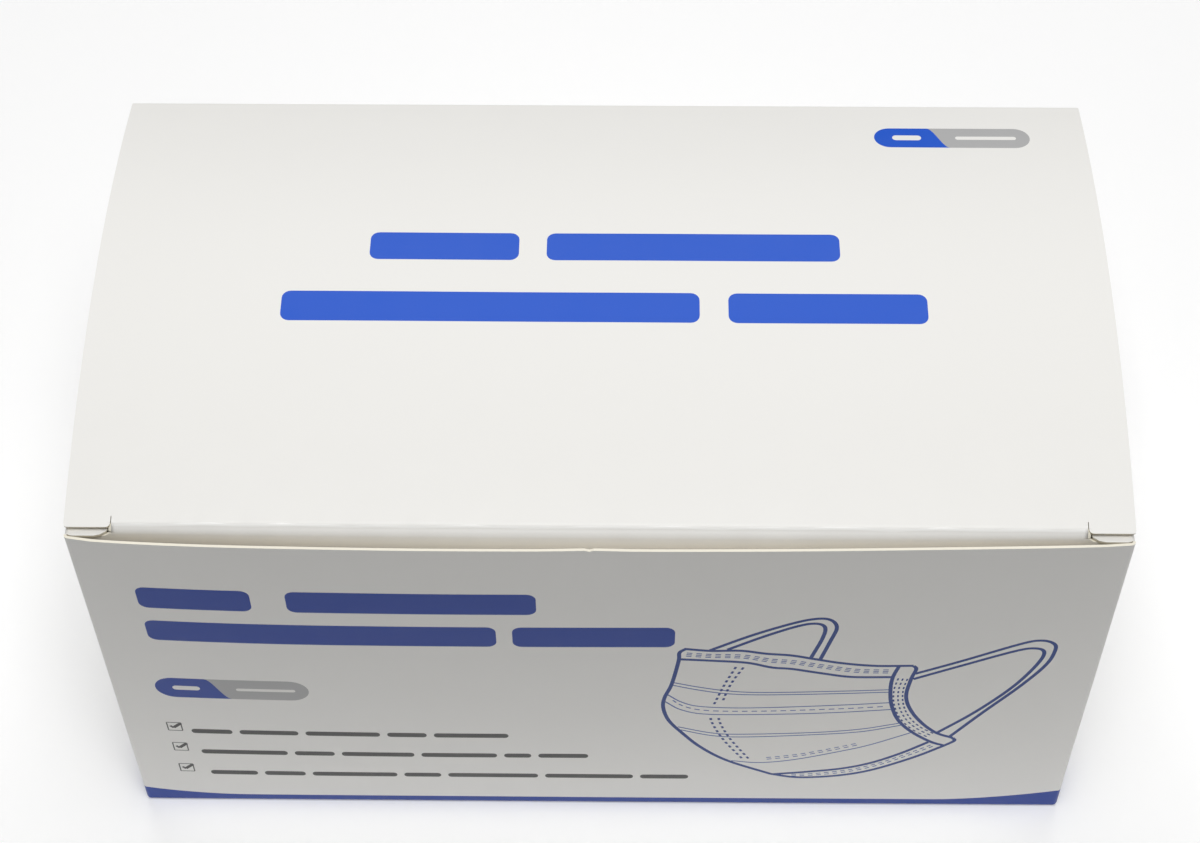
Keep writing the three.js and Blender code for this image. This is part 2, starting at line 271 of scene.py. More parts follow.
def make_board(name, outline, surface, columns, rows, finish, prints=(), thickness=BOARD):
    """A closed board: the outer face on the surface, the inner face a thickness below it, and a raw rim.

    surface(u, v) gives a point. prints is a list of (closed outline, material). finish has the materials
    of the outer face, the inner face and the raw edge."""
    points, triangles, owners = cut_sheet(outline, list(prints), columns, rows)
    used = sorted({i for t in triangles for i in t})
    number = {i: n for n, i in enumerate(used)}
    step = 0.08
    outer, inner, normals = [], [], []
    for i in used:
        u, v = points[i]
        p = surface(u, v)
        across = surface(u + step, v) - surface(u - step, v)
        up = surface(u, v + step) - surface(u, v - step)
        n = across.cross(up).normalized()
        outer.append(p * MM)
        inner.append((p - n * thickness) * MM)
        normals.append(n)
    count = len(used)
    materials = list(finish)
    for _, ink in prints:
        if ink not in materials:
            materials.append(ink)
    faces, slots, corner_normals, corner_uv = [], [], [], []

    def add(face, slot, shades, uv):
        faces.append(face)
        slots.append(slot)
        corner_normals.extend(shades)
        corner_uv.extend(uv)

    rim = {}
    for t, owner in zip(triangles, owners):
        a, b, c = (number[i] for i in t)
        uv = [points[i] for i in t]
        ink = 0 if owner < 0 else materials.index(prints[owner][1])
        add((a, b, c), ink, [normals[a], normals[b], normals[c]], uv)
        add((c + count, b + count, a + count), 1, [-normals[c], -normals[b], -normals[a]], uv[::-1])
        for i, j in ((a, b), (b, c), (c, a)):
            if (j, i) in rim:
                del rim[(j, i)]
            else:
                rim[(i, j)] = True
    for i, j in rim:
        side = (outer[j] - outer[i]).cross(normals[i] + normals[j]).normalized()
        uv = [points[used[k]] for k in (j, i, i, j)]
        add((j, i, i + count, j + count), 2, [side] * 4, uv)
    mesh = bpy.data.meshes.new(name)
    mesh.from_pydata([tuple(p) for p in outer + inner], [], faces)
    for material in materials:
        mesh.materials.append(material)
    mesh.polygons.foreach_set("material_index", slots)
    layer = mesh.uv_layers.new(name="sheet")
    layer.data.foreach_set("uv", [value / 100 for pair in corner_uv for value in pair])
    mesh.polygons.foreach_set("use_smooth", [True] * len(faces))
    mesh.update()
    mesh.normals_split_custom_set([tuple(n) for n in corner_normals])
    piece = bpy.data.objects.new(name, mesh)
    bpy.context.scene.collection.objects.link(piece)
    return piece


# Materials.


def board_material(name, color, roughness, bump, mottle, coarse=False, on_sheet=True):
    """Board or ink on board: a faint mottle in the colour, a fine surface, and an uneven gloss.

    It is laid out on the flat sheet in decimetres, or else over the piece's own coordinates."""
    material = bpy.data.materials.new(name)
    material.use_nodes = True
    nodes, links = material.node_tree.nodes, material.node_tree.links
    shader = nodes["Principled BSDF"]
    shader.inputs["Specular IOR Level"].default_value = 0.3
    if on_sheet:
        sheet = nodes.new("ShaderNodeUVMap")
        sheet.uv_map = "sheet"
        place = sheet.outputs["UV"]
    else:
        coordinates = nodes.new("ShaderNodeTexCoord")
        decimetres = nodes.new("ShaderNodeVectorMath")
        decimetres.operation = "SCALE"
        decimetres.inputs["Scale"].default_value = 10
        links.new(coordinates.outputs["Object"], decimetres.inputs[0])
        place = decimetres.outputs["Vector"]

    def noise_node(scale, detail, roughness_value=0.5):
        node = nodes.new("ShaderNodeTexNoise")
        node.noise_dimensions = "2D"
        node.inputs["Scale"].default_value = scale
        node.inputs["Detail"].default_value = detail
        node.inputs["Roughness"].default_value = roughness_value
        links.new(place, node.inputs["Vector"])
        return node

    cloud = noise_node(14, 3)
    fibre = noise_node(260 if coarse else 420, 4, 0.65)
    peel = noise_node(60, 2)
    tone = nodes.new("ShaderNodeMix")
    tone.data_type = "RGBA"
    tone.inputs["A"].default_value = (*[c * (1 - mottle) for c in color], 1)
    tone.inputs["B"].default_value = (*[min(1, c * (1 + mottle)) for c in color], 1)
    share = nodes.new("ShaderNodeMath")
    share.operation = "MULTIPLY_ADD"
    share.inputs[1].default_value = 0.5
    links.new(fibre.outputs["Fac"], share.inputs[0])
    half = nodes.new("ShaderNodeMath")
    half.operation = "MULTIPLY"
    half.inputs[1].default_value = 0.5
    links.new(cloud.outputs["Fac"], half.inputs[0])
    links.new(half.outputs[0], share.inputs[2])
    links.new(share.outputs[0], tone.inputs["Factor"])
    links.new(tone.outputs["Result"], shader.inputs["Base Color"])
    gloss = nodes.new("ShaderNodeMapRange")
    gloss.inputs["To Min"].default_value = roughness - 0.05
    gloss.inputs["To Max"].default_value = roughness + 0.05
    links.new(cloud.outputs["Fac"], gloss.inputs["Value"])
    links.new(gloss.outputs["Result"], shader.inputs["Roughness"])
    heights = nodes.new("ShaderNodeMath")
    heights.operation = "ADD"
    links.new(fibre.outputs["Fac"], heights.inputs[0])
    links.new(peel.outputs["Fac"], heights.inputs[1])
    bumps = nodes.new("ShaderNodeBump")
    bumps.inputs["Strength"].default_value = bump
    bumps.inputs["Distance"].default_value = 0.00003
    links.new(heights.outputs[0], bumps.inputs["Height"])
    links.new(bumps.outputs["Normal"], shader.inputs["Normal"])
    return material


WHITE = (0.86, 0.85, 0.82)
coat = board_material("coated_board", WHITE, 0.38, 0.35, 0.008)
# A paler, glossier copy of the coat: a painted highlight for the line along the front fold.
fold_highlight_coat = board_material("fold_highlight_coat", (0.95, 0.945, 0.92), 0.24, 0.2, 0.008)
CREAM = (0.87, 0.77, 0.58)
inside = board_material("board_back", CREAM, 0.85, 0.9, 0.03, coarse=True)
inside_flat = board_material("board_back_flat", CREAM, 0.85, 0.9, 0.03, coarse=True, on_sheet=False)
raw_edge = board_material("raw_edge", (0.88, 0.84, 0.72), 0.8, 0.9, 0.03, coarse=True)
blue_ink = board_material("blue_ink", (0.010, 0.095, 0.60), 0.36, 0.3, 0.02)
# A darker copy of the blue ink for the walls: painted shade, as the same ink looks duller on the shaded walls
# than on the lid.
shaded_wall_blue_ink = board_material("shaded_wall_blue_ink", (0.006, 0.048, 0.34), 0.38, 0.3, 0.02)
grey_ink = board_material("grey_ink", (0.44, 0.44, 0.44), 0.38, 0.3, 0.02)
dark_ink = board_material("dark_ink", (0.075, 0.075, 0.07), 0.4, 0.3, 0.02)
line_ink = board_material("line_ink", (0.010, 0.048, 0.25), 0.38, 0.3, 0.02)
pale_line_ink = board_material("pale_line_ink", (0.05, 0.11, 0.38), 0.38, 0.3, 0.02)
FINISH = (coat, inside, raw_edge)


# The lid, its front fold and the tuck flap are one board, drawn as a side profile of (y, z).


def crown_at(d):
    return 4 * LID_CROWN * (d / (2 * HALF_D)) * (1 - d / (2 * HALF_D))


def crown_slope(d):
    return 4 * LID_CROWN / (2 * HALF_D) * (1 - d / HALF_D)


def lid_profile():
    """The outer line from the tuck flap's free edge, over the fold and the crown, to the back panel."""
    setback = lid_low.y + HALF_D
    centre = 2 * HALF_D - setback - LID_FOLD_RADIUS
    lean = 0.0
    for _ in range(8):
        lean = math.atan(-crown_slope(centre + LID_FOLD_RADIUS * math.sin(lean)))
    start = centre + LID_FOLD_RADIUS * math.sin(lean)
    height = lid_crease.z + crown_at(start) - LID_FOLD_RADIUS * math.cos(lean)
    fold = arc((HALF_D - centre, height), LID_FOLD_RADIUS, math.pi, math.pi / 2 + lean, 40)
    drop = height - tuck_low.z
    tip = (tuck_low.y + drop * math.tan(tuck_lean), tuck_low.z)
    corner = math.atan(crown_slope(0))
    length = CREASE_RADIUS * math.tan((math.pi / 2 - corner) / 2)
    crown = [(HALF_D - d, lid_crease.z + crown_at(d)) for d in spread(start, length, 0.5)]
    rear = arc(
        (HALF_D - CREASE_RADIUS, lid_crease.z - length),
        CREASE_RADIUS,
        math.pi / 2 - corner,
        0,
        20,
    )
    foot = (HALF_D, lid_crease.z - CREASE_FOOT)
    return Path([tip] + fold + crown[1:-1] + rear + [foot]), height


tuck_lean = math.asin((tuck_high.y - BOARD - tuck_low.y) / (tuck_crease.z - tuck_low.z))
profile, fold_height = lid_profile()
s_fold_end = profile.where(1, fold_height)
s_slit = profile.where(0, -HALF_D + TAB_SETBACK + SLIT_LENGTH, s_fold_end + 0.5)
s_rear = profile.where(0, HALF_D - CREASE_RADIUS - 0.3, s_slit)
tab_slope = (profile.at(s_slit + 0.8) - profile.at(s_slit)).normalized()


def lid_length(y):
    """The length along the profile at a place on the lid."""
    return profile.where(0, y, s_slit - 2)


def lid_surface(u, s):
    """A point of the lid's board. The end tabs go on straight where the rest turns down in the fold."""
    if abs(u) > FOLD_HALF + SLIT / 2 and s_fold_end + 0.3 < s < s_slit:
        p = profile.at(s_slit) + tab_slope * (s - s_slit)
        return Vector((u, p.x, p.y))
    p = profile.at(s)
    near_fold = smooth_step(1 - abs(s - s_slit + 1.2) / 3.5) * smooth_step((FOLD_HALF - abs(u)) / 6)
    wave = ripple(u, 0, size=7, depth=0.14, seed=3.1) + ripple(u, 0, size=2.6, depth=0.05, seed=8.7)
    away_from_ends = smooth_step((s - s_slit) / 20) * smooth_step((s_rear - s) / 12)
    broad = ripple(u, s, size=38, depth=0.16, seed=1.7) * away_from_ends
    bulge_start = s_fold_end + TUCK_BULGE_RISE
    below = min(max((bulge_start - s) / bulge_start, 0), 1)
    middle = max(0, 1 - (u / FOLD_HALF) ** 2)
    bulge = (TUCK_BULGE + TUCK_BULGE_MIDDLE * middle) * BULGE_SCALE * below * (1 - below) ** 2
    return Vector((u, p.x - wave * near_fold * 0.5 - bulge, p.y + wave * near_fold + broad))


def lid_outline():
    """The lid, its end tabs, the fold between them and the tuck flap, whose ears lie under the tabs."""
    tab = FOLD_HALF + SLIT
    tab_front = s_slit - SLIT_LENGTH
    ear = HALF_W - BOARD - EAR_CLEARANCE
    ear_top = s_fold_end - EAR_DROP
    loop = [(-HALF_W, s_rear), (-HALF_W, tab_front + 0.5), (-HALF_W + 0.15, tab_front + 0.15)]
    loop += [(-HALF_W + 0.5, tab_front), (-tab - 0.8, tab_front)]
    loop += arc((-tab - 0.8, tab_front + 0.8), 0.8, -math.pi / 2, 0, 6)[1:]
    loop += [(-tab, s_slit - 0.1), (-FOLD_HALF - SLIT / 2, s_slit), (-FOLD_HALF, s_slit - 0.1)]
    loop += [(-FOLD_HALF, s_fold_end + 0.5), (-FOLD_HALF - 0.15, s_fold_end + 0.2)]
    loop += [(-FOLD_HALF - 0.7, s_fold_end - 0.2), (-FOLD_HALF - 1.1, ear_top)]
    loop += [(-ear + 0.6, ear_top), (-ear, ear_top - 0.6), (-ear, ear_top - TUCK_EAR)]
    loop += [(-FOLD_HALF, ear_top - 2 * TUCK_EAR)]
    loop += arc((-FOLD_HALF + TUCK_CORNER, TUCK_CORNER), TUCK_CORNER, math.pi, 1.5 * math.pi, 10)
    return loop + [(-u, s) for u, s in reversed(loop)]


# Two rows of words on the lid, each with the ends of its two bars and the place of its base line.
LID_TITLE_ROWS = (((-42, -15), (-10, 43), 4.5), ((-57, 17.5), (22.6, 58), -9.6))
LID_BAR_FOOT = 1.4
LID_BAR_TOP = 8.0
LID_BAR_CORNER = 1.6
LID_BADGE_ENDS = (51.1, 80.5)
LID_BADGE_CUT = (61.2, 65.2)
LID_BADGE_MIDDLE = 39.6
LID_BADGE_HALF_HEIGHT = 3.0


def lid_print():
    """Two rows of plain bars where the words stand, and the two-tone badge."""
    marks = []
    for first, second, base in LID_TITLE_ROWS:
        y0, y1 = lid_length(base + LID_BAR_FOOT), lid_length(base + LID_BAR_TOP)
        for x0, x1 in (first, second):
            marks.append((bar(x0, x1, y0, y1, LID_BAR_CORNER), blue_ink))
    middle = lid_length(LID_BADGE_MIDDLE)
    low, high = middle - LID_BADGE_HALF_HEIGHT, middle + LID_BADGE_HALF_HEIGHT
    marks += badge(*LID_BADGE_ENDS, low, high, *LID_BADGE_CUT, blue_ink)
    # The painted highlight along the front fold.
    marks.append((fold_glint(), fold_highlight_coat))
    return marks


def fold_glint():
    """A thin, uneven line of paler, glossier coat along the front fold: a painted highlight where the fold
    catches the light.
    """

    def sway(u):
        return ripple(u, 0, size=9, depth=0.25, seed=4.4)

    places = spread(0.5 - FOLD_HALF, FOLD_HALF - 0.5, 1.5)
    line = s_slit - SLIT_LENGTH + 0.5
    low = [(u, line - 0.2 + sway(u)) for u in places]
    high = [(u, line + 0.25 + sway(u) + ripple(u, 0, size=4, depth=0.2, seed=7.9)) for u in places]
    return low + high[::-1]


def badge(x0, x1, y0, y1, cut_top, cut_foot, blue_part):
    """A pill with a blue and a grey part, split by a soft slanted line, and a plain pale bar in each."""
    radius = (y1 - y0) / 2
    middle = (y0 + y1) / 2
    steps = [i / 10 for i in range(11)]
    cut = [(cut_top + (cut_foot - cut_top) * t, y1 + (y0 - y1) * smooth_step(t)) for t in steps]
    left = arc((x0 + radius, middle), radius, math.radians(90), math.radians(270), 14)
    right = arc((x1 - radius, middle), radius, math.radians(-90), math.radians(90), 14)
    blue = left + cut[::-1]
    grey = right + cut
    span = cut_top - x0
    rest = x1 - cut_foot
    return [
        (blue, blue_part),
        (grey, grey_ink),
        (bar(x0 + 0.34 * span, x0 + 0.88 * span, middle - 0.75, middle + 0.75, 0.7), coat),
        (bar(cut_foot + 0.08 * rest, x1 - 0.17 * rest, middle - 0.5, middle + 0.5, 0.45), coat),
    ]


def make_lid():
    columns = spread(-HALF_W + 1, HALF_W - 1, 2)
    rows = spread(1, s_fold_end - 1, 4) + spread(s_fold_end, s_slit, 0.25) + spread(s_slit + 1, s_rear - 1, 4)
    lid = make_board("lid", lid_outline(), lid_surface, columns, rows, FINISH, lid_print())
    foot = profile.length
    strip = [(-HALF_W, s_rear), (HALF_W, s_rear), (HALF_W - 0.1, foot), (-HALF_W + 0.1, foot)]
    crease = make_board("lid_crease", strip, lid_surface, columns, spread(s_rear, foot, 0.2), FINISH)
    return lid, crease


# The four walls and the glued seam are one board that goes round in plan, drawn from the rear left corner.


def build_ring():
    """The outer line in plan, and each stretch's name with the lengths at which it starts and ends."""
    x, y = HALF_W - FOLD_RADIUS, HALF_D - FOLD_RADIUS
    seam_x = HALF_W - BOARD - SEAM_GAP
    seam_y = HALF_D - BOARD - SEAM_GAP
    half = math.pi / 2
    stretches = [
        ("left", [(-HALF_W, seam_y), (-HALF_W, -y)]),
        ("fold", arc((-x, -y), FOLD_RADIUS, 2 * half, 3 * half)),
        ("front", [(-x, -HALF_D), (x, -HALF_D)]),
        ("fold", arc((x, -y), FOLD_RADIUS, -half, 0)),
        ("right", [(HALF_W, -y), (HALF_W, y)]),
        ("fold", arc((x, y), FOLD_RADIUS, 0, half)),
        ("back", [(x, HALF_D), (-seam_x + FOLD_RADIUS, HALF_D)]),
        ("fold", arc((-seam_x + FOLD_RADIUS, y), FOLD_RADIUS, half, 2 * half)),
        ("seam", [(-seam_x, y), (-seam_x, HALF_D - GLUE_WIDTH)]),
    ]
    points, marks = [], []
    for name, line in stretches:
        if points and (Vector(line[0]) - Vector(points[-1])).length < 1e-6:
            line = line[1:]
        first = len(points) - 1 if points else 0
        points += line
        marks.append((name, first, len(points) - 1))
    path = Path(points)
    return path, [(name, path.lengths[a], path.lengths[b]) for name, a, b in marks]


ring, ring_marks = build_ring()


def stretch(name):
    return next((a, b) for n, a, b in ring_marks if n == name)


front_start, front_end = stretch("front")
back_start, back_end = stretch("back")
left_start, left_end = stretch("left")
right_start, right_end = stretch("right")
seam_start, seam_end = stretch("seam")
nick_at = (front_start + front_end) / 2 + NICK_OFFSET


def bow_shape(share):
    share = min(max(share, -1), 1)
    return (1 - share * share) ** BOW_FULLNESS * (1 - BOW_SKEW * share)


BOW_PEAK = max(bow_shape(i / 100) for i in range(-99, 100))
WALL_BOW = (-HALF_D - front_low.y) / BOW_PEAK
TOP = lid_crease.z


def wall_bow(u, z):
    """How far the wall bulges out at a length round the carton and a height."""
    z = min(max(z, 0), TOP)
    if front_start < u < front_end:
        share = 2 * (u - front_start) / (front_end - front_start) - 1
        nick = NICK_DEPTH * math.exp(-(((u - nick_at) / NICK_SPREAD) ** 2)) * smooth_step((z - 85) / 10)
        return WALL_BOW * bow_shape(share) * math.sin(math.pi / 2 * (z / TOP) ** RISE_FULLNESS) - nick
    if back_start < u < back_end:
        share = 2 * (u - back_start) / (back_end - back_start) - 1
        return WALL_BOW * bow_shape(share) * math.sin(math.pi * z / TOP)
    y = ring.at(u).y / HALF_D
    if left_start < u < left_end or right_start < u < right_end or seam_start < u:
        return SIDE_BOW * max(0, 1 - y * y) * math.sin(math.pi * z / TOP)
    return 0.0


def ring_surface(u, v):
    """A point of the walls. Under the fold radius the board turns in towards the bottom."""
    p = ring.at(u)
    along = ring.at(u + 0.02) - ring.at(u - 0.02)
    out = Vector((along.y, -along.x)).normalized()
    z, inset = v, 0.0
    if v < FOLD_RADIUS:
        angle = (FOLD_RADIUS - v) / FOLD_RADIUS
        z = FOLD_RADIUS * (1 - math.sin(angle))
        inset = FOLD_RADIUS * (1 - math.cos(angle))
    uneven = ripple(u, v, size=30, depth=0.08, seed=5.3) * smooth_step(z / 8)
    push = wall_bow(u, z) - inset + uneven
    return Vector((p.x + out.x * push, p.y + out.y * push, z))


LIP = FOLD_RADIUS * (1 - BOTTOM_TURN)
SIDE_CREASE = DUST_TOP - 1.1
BACK_CREASE = TOP - CREASE_FOOT


def ring_outline():
    """Bottom lip all round, then the tops: the seam strip, the back, the sides and the free front edge."""
    seam_foot = glue_low.z
    seam_top = SIDE_CREASE - 1
    loop = [(0, LIP), (back_end + 0.7, LIP), (back_end + 1.2, 1), (seam_start + 1, seam_foot)]
    loop += [(seam_end, seam_foot + SEAM_BEVEL), (seam_end, seam_top - SEAM_BEVEL)]
    loop.append((seam_start + 1, seam_top))
    loop += [(back_end + 0.9, BACK_CREASE - 0.3), (back_end, BACK_CREASE), (back_start, BACK_CREASE)]
    loop += [(back_start - 0.7, BACK_CREASE - 0.2), (right_end, SIDE_CREASE)]
    loop += [(right_start + 0.1, SIDE_CREASE), (right_start, SIDE_CREASE + 0.4)]
    loop.append((right_start - 0.1, FRONT_TOP))
    loop += [(nick_at + 0.7, FRONT_TOP), (nick_at, FRONT_TOP - NICK_CUT), (nick_at - 0.9, FRONT_TOP)]
    loop += [(left_end + 0.1, FRONT_TOP), (left_end, SIDE_CREASE + 0.4), (left_end - 0.1, SIDE_CREASE)]
    return loop + [(0, SIDE_CREASE)]


def front_u(x):
    """The length round the carton at a place x on the front."""
    return (front_start + front_end) / 2 + x


def on_front(loop):
    return [(front_u(p[0]), p[1]) for p in loop]


# The front's words: title rows as on the lid, then rows of text with a height, an indent and word lengths.
TITLE_ROWS = (((-81, -61), (-54.8, -11), 73.0), ((-81, -18.4), (-15.5, 13.5), 61.9))
TITLE_FOOT = 1.6
TITLE_TOP = 8.4
TITLE_CORNER = 1.7
TEXT_START = -78.0
TEXT_HALF_HEIGHT = 0.85
TEXT_CORNER = 0.7
WORD_GAP = 1.4
TICK_START = -82.4
TICK_MIDDLES = (30.7, 22.6, 13.9)
TICK_DROP = 1.3
TEXT_ROWS = (
    (29.4, 0.0, (7.8, 11.2, 14.2, 7.5, 14.2)),
    (21.1, 0.8, (16.7, 7.7, 14.0, 14.6, 5.2, 9.6)),
    (12.4, 1.5, (9.2, 8.0, 16.6, 7.2, 17.6, 17.2, 9.4)),
)


def front_words():
    marks = []
    for first, second, base in TITLE_ROWS:
        for x0, x1 in (first, second):
            marks.append((bar(x0, x1, base + TITLE_FOOT, base + TITLE_TOP, TITLE_CORNER), shaded_wall_blue_ink))
    for z, indent, lengths in TEXT_ROWS:
        x = TEXT_START + indent
        for length in lengths:
            word = bar(x, x + length, z - TEXT_HALF_HEIGHT, z + TEXT_HALF_HEIGHT, TEXT_CORNER)
            marks.append((word, dark_ink))
            x += length + WORD_GAP
    for z in TICK_MIDDLES:
        marks += tick_box(TICK_START, z - TICK_DROP)
    marks += badge(-82.5, -53.9, 42.6, 49.8, -73.0, -68.6, shaded_wall_blue_ink)
    return marks


def tick_box(x, z):
    """A small square of thin lines with a tick in it."""
    wide, tall = 2.7, 3.1
    line = 0.24
    corners = [(x, z), (x + wide, z), (x + wide, z + tall), (x, z + tall)]
    sides = zip(corners, corners[1:] + corners[:1])
    marks = [(stroke([a, b], line, smooth=False), dark_ink) for a, b in sides]
    marks.append((stroke([(x + 0.55, z + 1.8), (x + 1.15, z + 1.0)], 0.55, smooth=False), dark_ink))
    marks.append((stroke([(x + 1.1, z + 1.1), (x + 2.7, z + 2.9)], 0.75, smooth=False), dark_ink))
    return marks


# The line drawing of a pleated mask on the front panel, with x across and z up.
HEAVY, LIGHT = 0.75, 0.31
HEAVY_LINES = {
    "left_edge": [
        (15.4, 62.8), (14.4, 61.5), (14.3, 58.5), (13.2, 50), (12, 45), (11.8, 41), (12.9, 36),
        (15.5, 31), (19.3, 25), (24.6, 19.4), (33.2, 13.7),
    ],
    "top_band_upper": [
        (15.2, 62.9), (20, 62.2), (25.4, 62.2), (30, 61.1), (34.6, 60.4), (39, 59), (43.8, 57.5),
        (50, 56.4), (57, 56.3),
    ],
    "top_band_lower": [
        (14.5, 59.2), (20, 58.7), (26.6, 57.9), (31.3, 56.1), (35, 55.5), (40.6, 53.8), (46, 52.4),
        (53.4, 52.2),
    ],
    "left_loop_outer": [
        (19.9, 62.4), (27.2, 67.6), (34.5, 71.8), (38.6, 73.2), (41, 72.6), (42.1, 70), (41.3, 65.5),
        (39.9, 58.9),
    ],
    "left_loop_inner": [
        (23, 62.6), (29.7, 67.4), (35.4, 70.8), (38.4, 71.5), (40, 70.2), (39.8, 66.4), (38.2, 59.6),
    ],
    "bottom_band_upper": [
        (33.7, 13.6), (40.5, 14.7), (47, 16.1), (52.4, 18.5), (57.7, 22.4), (62.6, 27),
    ],
    "bottom_band_lower": [
        (33.2, 13.7), (38, 12.3), (43.4, 12.5), (49, 13.8), (54, 16.2), (60.7, 21), (65.8, 25.6),
    ],
    "binding_left": [
        (54.4, 56.3), (53.6, 52), (53.6, 47.4), (54.3, 41.7), (56.1, 35.8), (59.1, 31.1), (63, 27.2),
        (65.8, 25.6),
    ],
    "binding_right": [
        (57, 56.3), (57.6, 55), (57, 51.3), (56.7, 45.1), (58, 39.9), (60.5, 34.9), (63.7, 30.8),
        (67.1, 28.7),
    ],
    "binding_end": [
        (67.1, 28.7), (67.5, 27.5), (65.8, 25.6),
    ],
    "right_loop_outer": [
        (57.6, 53.4), (65.3, 57.7), (75.3, 63.6), (79, 64.8), (81.5, 63.6), (82, 61), (81, 56),
        (77.3, 48.4), (71.6, 38.6), (66.5, 29.3),
    ],
    "right_loop_inner": [
        (57.4, 51.4), (65.4, 56), (74.4, 61), (78, 62.1), (80.1, 60.8), (79.4, 56.3), (76, 48.2),
        (70.2, 38.9), (63.9, 30.8),
    ],
}
LIGHT_LINES = {
    "first_pleat_upper": [
        (13.6, 50.6), (18, 49), (23.5, 47.5), (30, 46.8), (44.3, 47.1), (53.3, 47.5),
    ],
    "first_pleat_lower": [
        (13.5, 49.6), (18, 47.9), (23.5, 46.4), (30.8, 45.9), (44.4, 46.2), (53.4, 46.6),
    ],
    "second_pleat_upper": [
        (12.5, 46.1), (15.3, 43.1), (19.2, 41.4), (28.4, 40.9), (44.7, 41.8), (53.9, 42.6),
    ],
    "second_pleat_lower": [
        (12.1, 43.4), (15.3, 40.1), (20.6, 38.4), (33.8, 38.4), (44.9, 39), (54.5, 40),
    ],
    "third_pleat_upper": [
        (14.7, 33.4), (20.9, 31), (26.2, 30.4), (39.5, 31), (49, 32.3), (56.6, 34.7),
    ],
    "third_pleat_lower": [
        (15.2, 32.2), (21.4, 29.8), (27.6, 29.3), (39.5, 30.1), (49.3, 31.3), (57, 33.9),
    ],
    "bottom_seam": [
        (25.3, 19.4), (30.8, 18.6), (37.5, 19.9), (46, 23.3), (51.6, 26), (59, 30.9),
    ],
}
NOSE_WIRE = [(14.8, 61), (20, 60.4), (26, 60.1), (31, 58.6), (35, 58), (41, 56.2), (47, 54.6), (53, 54.3)]
SECOND_PLEAT_STITCH = [(13, 44.6), (15.6, 41.6), (20, 39.9), (30, 39.6), (45, 40.4), (53.6, 41.2)]
COLUMN_STITCHES = (
    [(25, 57.2), (22.9, 49.8), (21.2, 42.2)],
    [(26.4, 57), (24, 49.8), (22.6, 42.4)],
    [(20.8, 37.8), (21, 35.4), (23.4, 28.3), (27.8, 19.4)],
    [(22.2, 37.8), (22.6, 35), (24.7, 28.6), (29, 19.4)],
)
BINDING_STITCH = [(55.6, 52.4), (55.1, 47.4), (55.6, 42), (57.2, 36.8), (59.8, 32.6), (63.4, 29.2)]
BOTTOM_SEAM_STITCH = [(31.2, 20.2), (37.6, 21.6), (44, 24), (49.4, 26.4)]
BOTTOM_BAND_STITCH = [(36.5, 13.1), (42, 13.6), (48.5, 15.2), (54, 18), (59, 21.8), (64.2, 26.2)]


def mask_drawing():
    marks = [(stroke(points, HEAVY), line_ink) for points in HEAVY_LINES.values()]
    marks += [(stroke(points, LIGHT), pale_line_ink) for points in LIGHT_LINES.values()]
    pale = []
    for shift in (-0.55, 0.0, 0.55):
        pale += dashes(NOSE_WIRE, 0.28, 1.0, 1.75, shift)
    pale += dashes(SECOND_PLEAT_STITCH, 0.3, 1.05, 1.8)
    for shift in (-0.35, 0.35):
        pale += dashes(BOTTOM_SEAM_STITCH, 0.28, 0.95, 1.7, shift)
        pale += dashes(BOTTOM_BAND_STITCH, 0.28, 0.9, 1.6, shift)
    marks += [(loop, pale_line_ink) for loop in pale]
    dots = [loop for line in COLUMN_STITCHES for loop in dashes(line, 0.48, 0.85, 1.7)]
    for shift in (-0.85, 0.0, 0.85):
        dots += dashes(BINDING_STITCH, 0.32, 0.8, 1.55, shift)
    return marks + [(loop, line_ink) for loop in dots]


STRIPE_LOW = 2.7
STRIPE_SMALL_SWELL = 5.3
STRIPE_LARGE_SWELL = 6.6
STRIPE_AT_FOLDS = 6.0


def base_stripe():
    """A blue stripe along the foot of every wall, which swells at the corners."""
    small, large = STRIPE_SMALL_SWELL, STRIPE_LARGE_SWELL

    def height(u):
        for start, end, first, last in (
            (front_start, front_end, small, large),
            (right_start, right_end, large, small),
            (back_start, back_end, small, large),
            (left_start, left_end, large, small),
        ):
            if start <= u <= end:
                near_start = max(0.0, 1 - (u - start) / 20) ** 1.8
                near_end = max(0.0, 1 - (end - u) / 24) ** 1.6
                return STRIPE_LOW + (first - STRIPE_LOW) * near_start + (last - STRIPE_LOW) * near_end
        return STRIPE_AT_FOLDS

    line = [(u, height(u)) for u in spread(0, seam_start - 0.01, 2)]
    return [(0, LIP - 1)] + line[:-1] + [(seam_start, height(seam_start)), (seam_start, LIP - 1)]


def make_walls():
    # The stripe and the front's blue words and badge use the darker copy of the blue ink: painted shade.
    prints = [(base_stripe(), shaded_wall_blue_ink)]
    prints += [(on_front(loop), ink) for loop, ink in front_words() + mask_drawing()]
    columns = []
    for name, start, end in ring_marks:
        columns += spread(start, end, 0.25 if name == "fold" else 4)
    rows = spread(LIP, FOLD_RADIUS, 0.2) + spread(FOLD_RADIUS + 3, FRONT_TOP - 1, 4)
    columns = sorted(set(columns))
    return make_board("carton_walls", ring_outline(), ring_surface, columns, rows, FINISH, prints)


# A dust flap and its crease, drawn as a profile of (distance in from the side, height) and along the depth.


def dust_profile():
    centre = (CREASE_RADIUS, DUST_TOP - CREASE_RADIUS)
    return Path(
        [(0, SIDE_CREASE)] + arc(centre, CREASE_RADIUS, math.pi, math.pi / 2, 16) + [(DUST_REACH, DUST_TOP)]
    )


dust_line = dust_profile()
s_dust = dust_line.where(0, CREASE_RADIUS)


